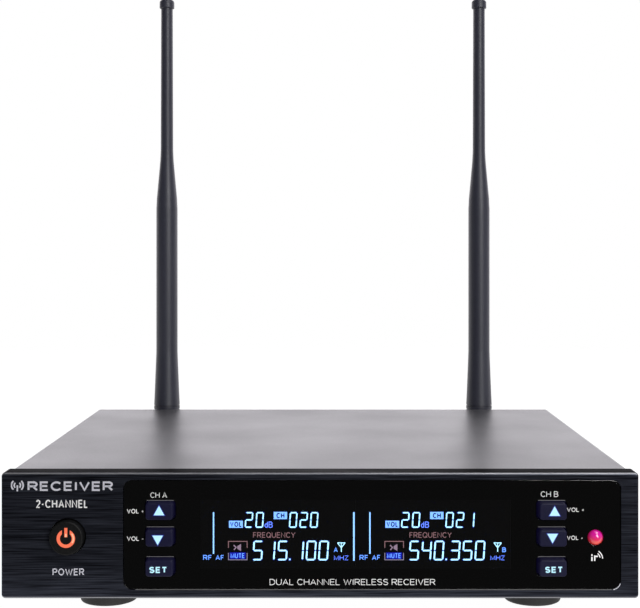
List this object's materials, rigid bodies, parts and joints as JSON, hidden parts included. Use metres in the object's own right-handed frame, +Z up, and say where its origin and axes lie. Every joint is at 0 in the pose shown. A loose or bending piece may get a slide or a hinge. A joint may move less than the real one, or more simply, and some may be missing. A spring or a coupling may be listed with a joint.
{
  "type": "wireless receiver unit",
  "caption": "Half-rack wireless microphone receiver: brushed black front panel with lit display window, keys and power button, sheet metal case, rear sockets and folding antennas.",
  "frame": {"origin": "on the surface that the feet stand on, at the centre of the whole object's box", "axes": "+Z up, the front panel faces -Y, +X is to the right seen from the front"},
  "size_m": [0.2132, 0.1886, 0.2439],
  "materials": {
    "front_panel": "black anodised, brushed left to right",
    "display_window": "smoked glossy acrylic",
    "key_cap": "dark translucent, satin",
    "power_cap": "satin black",
    "power_symbol": "clear inlay lit orange",
    "infrared_dome": "clear red",
    "display_glass": "dark negative display glass",
    "light_box": "white diffusing",
    "circuit_board": "green solder mask",
    "black_component": "moulded black",
    "key_lamp": "small white lamp",
    "cover_paint": "fine textured black powder coat",
    "tray_paint": "fine textured black powder coat",
    "rear_paint": "smooth satin black",
    "foot_rubber": "matt",
    "black_screw": "black oxide",
    "zinc_screw": "zinc plated",
    "nickel": "satin nickel",
    "contact": "gold plated",
    "socket_plastic": "moulded black",
    "knuckle_plastic": "satin black moulding",
    "antenna_rubber": "smooth satin black",
    "core_steel": "drawn wire",
    "shield_tin": "tinned sheet",
    "heat_sink_metal": "black anodised",
    "capacitor_sleeve": "shrunk sleeve",
    "ribbon": "grey"
  },
  "bodies": {
    "case": {"front_panel": "front_panel", "display_lens": "display_window", "ir_lamp": "infrared_dome", "lcd_glasses": "display_glass", "lcd_backlights": "light_box", "display_board": "circuit_board", "key_switches": "black_component", "key_lamps": "key_lamp", "power_switch": "black_component", "top_cover": "cover_paint", "bottom_tray": "tray_paint", "feet": "foot_rubber", "foot_screws": "zinc_screw", "cover_screws": "black_screw", "rear_panel_screws": "black_screw", "front_panel_screws": "zinc_screw", "rear_panel": "rear_paint", "xlr_shells": "nickel", "xlr_inserts": "socket_plastic", "xlr_contacts": "contact", "xlr_screws": "black_screw", "mix_jack_body": "socket_plastic", "mix_jack_nut": "nickel", "mix_jack_lugs": "contact", "dc_inlet": "socket_plastic", "dc_inlet_contacts": "nickel", "antenna_bushes": "nickel", "antenna_nuts": "nickel", "board_standoffs": "zinc_screw", "main_board": "circuit_board", "board_screws": "zinc_screw", "rf_shields": "shield_tin", "capacitors": "capacitor_sleeve", "heat_sink": "heat_sink_metal", "voltage_regulator": "black_component", "chips": "black_component", "ribbon_headers": "black_component", "ribbon_cable": "ribbon"},
    "key_a_up_key": {"key_a_up": "key_cap"},
    "key_a_down_key": {"key_a_down": "key_cap"},
    "key_a_set_key": {"key_a_set": "key_cap"},
    "key_b_up_key": {"key_b_up": "key_cap"},
    "key_b_down_key": {"key_b_down": "key_cap"},
    "key_b_set_key": {"key_b_set": "key_cap"},
    "power_key": {"power_button": "power_cap", "power_symbol": "power_symbol"},
    "antenna_a_knuckle": {"antenna_a_swivel": "knuckle_plastic", "antenna_a_clip": "zinc_screw", "antenna_a_hinge_pin": "nickel"},
    "antenna_a_whip": {"antenna_a_base": "knuckle_plastic", "antenna_a_sleeve": "antenna_rubber", "antenna_a_cap": "antenna_rubber", "antenna_a_core": "core_steel"},
    "antenna_b_knuckle": {"antenna_b_swivel": "knuckle_plastic", "antenna_b_clip": "zinc_screw", "antenna_b_hinge_pin": "nickel"},
    "antenna_b_whip": {"antenna_b_base": "knuckle_plastic", "antenna_b_sleeve": "antenna_rubber", "antenna_b_cap": "antenna_rubber", "antenna_b_core": "core_steel"}
  },
  "joints": [
    {"name": "key_a_up_press", "type": "slide", "parent": "case", "child": "key_a_up_key", "axis": [0, 1, 0], "range_m": [0, 0.0008], "stiffness_N_per_m": 1500},
    {"name": "key_a_down_press", "type": "slide", "parent": "case", "child": "key_a_down_key", "axis": [0, 1, 0], "range_m": [0, 0.0008], "stiffness_N_per_m": 1500},
    {"name": "key_a_set_press", "type": "slide", "parent": "case", "child": "key_a_set_key", "axis": [0, 1, 0], "range_m": [0, 0.0008], "stiffness_N_per_m": 1500},
    {"name": "key_b_up_press", "type": "slide", "parent": "case", "child": "key_b_up_key", "axis": [0, 1, 0], "range_m": [0, 0.0008], "stiffness_N_per_m": 1500},
    {"name": "key_b_down_press", "type": "slide", "parent": "case", "child": "key_b_down_key", "axis": [0, 1, 0], "range_m": [0, 0.0008], "stiffness_N_per_m": 1500},
    {"name": "key_b_set_press", "type": "slide", "parent": "case", "child": "key_b_set_key", "axis": [0, 1, 0], "range_m": [0, 0.0008], "stiffness_N_per_m": 1500},
    {"name": "power_press", "type": "slide", "parent": "case", "child": "power_key", "axis": [0, 1, 0], "range_m": [0, 0.0012], "stiffness_N_per_m": 1500},
    {"name": "antenna_a_turn", "type": "hinge", "parent": "case", "child": "antenna_a_knuckle", "pos_m": [-0.07465, 0.0737, 0.0295], "axis": [0, 1, 0], "range_deg": [-90, 15]},
    {"name": "antenna_a_fold", "type": "hinge", "parent": "antenna_a_knuckle", "child": "antenna_a_whip", "pos_m": [-0.07465, 0.0882, 0.0295], "axis": [-1, 0, 0], "range_deg": [0, 90]},
    {"name": "antenna_b_turn", "type": "hinge", "parent": "case", "child": "antenna_b_knuckle", "pos_m": [0.07465, 0.0737, 0.0295], "axis": [0, 1, 0], "range_deg": [-15, 90]},
    {"name": "antenna_b_fold", "type": "hinge", "parent": "antenna_b_knuckle", "child": "antenna_b_whip", "pos_m": [0.07465, 0.0882, 0.0295], "axis": [-1, 0, 0], "range_deg": [0, 90]}
  ]
}
